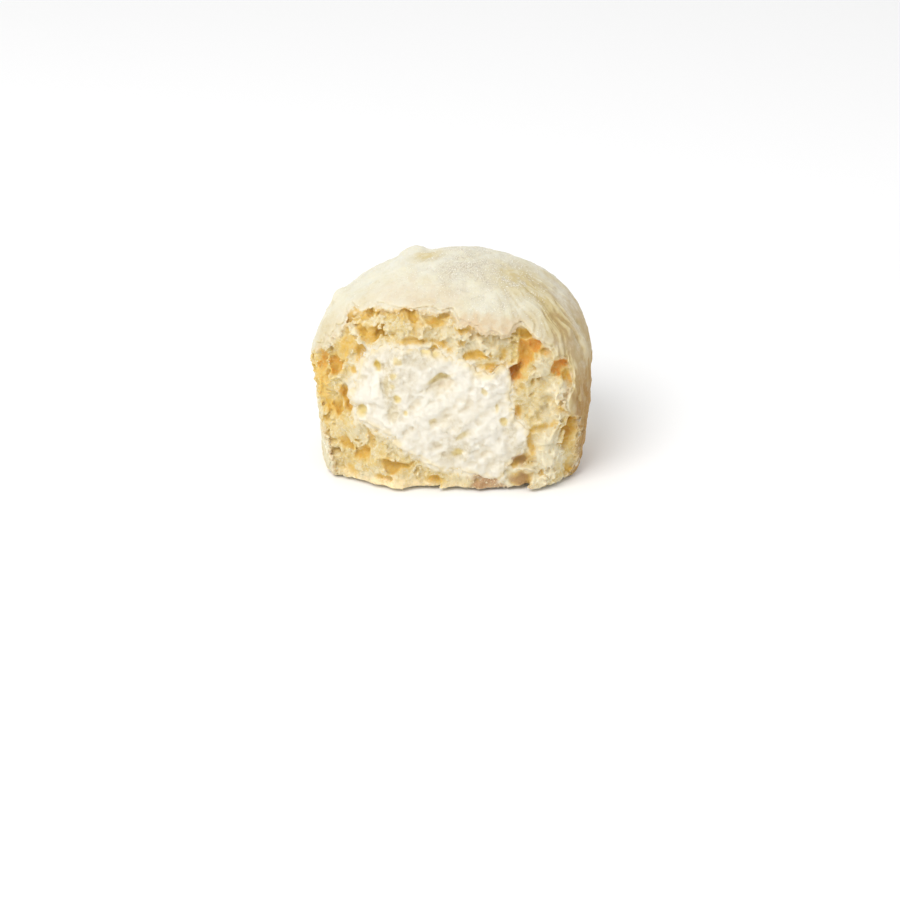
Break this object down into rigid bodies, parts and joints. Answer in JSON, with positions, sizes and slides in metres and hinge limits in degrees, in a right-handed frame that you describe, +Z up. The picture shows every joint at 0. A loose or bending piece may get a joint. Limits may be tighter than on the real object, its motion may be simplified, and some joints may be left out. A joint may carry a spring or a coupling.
{
  "type": "milk bun",
  "caption": "Soft round milk bun torn open at the front, with an open pored crumb and a whipped cream filling in its middle.",
  "frame": {"origin": "centre of the bounding box at the flat base the bun stands on", "axes": "+X along the bun's width, to the right as the torn face is seen, +Y from the torn face to the whole back, +Z up"},
  "size_m": [0.0834, 0.061, 0.0662],
  "materials": {
    "bread": "soft matte pale crust dusted with powder, golden porous crumb in the torn face",
    "cream": "soft satin, lumpy whipped cream"
  },
  "bodies": {
    "root": {"bun": "bread", "cream": "cream"}
  },
  "joints": []
}
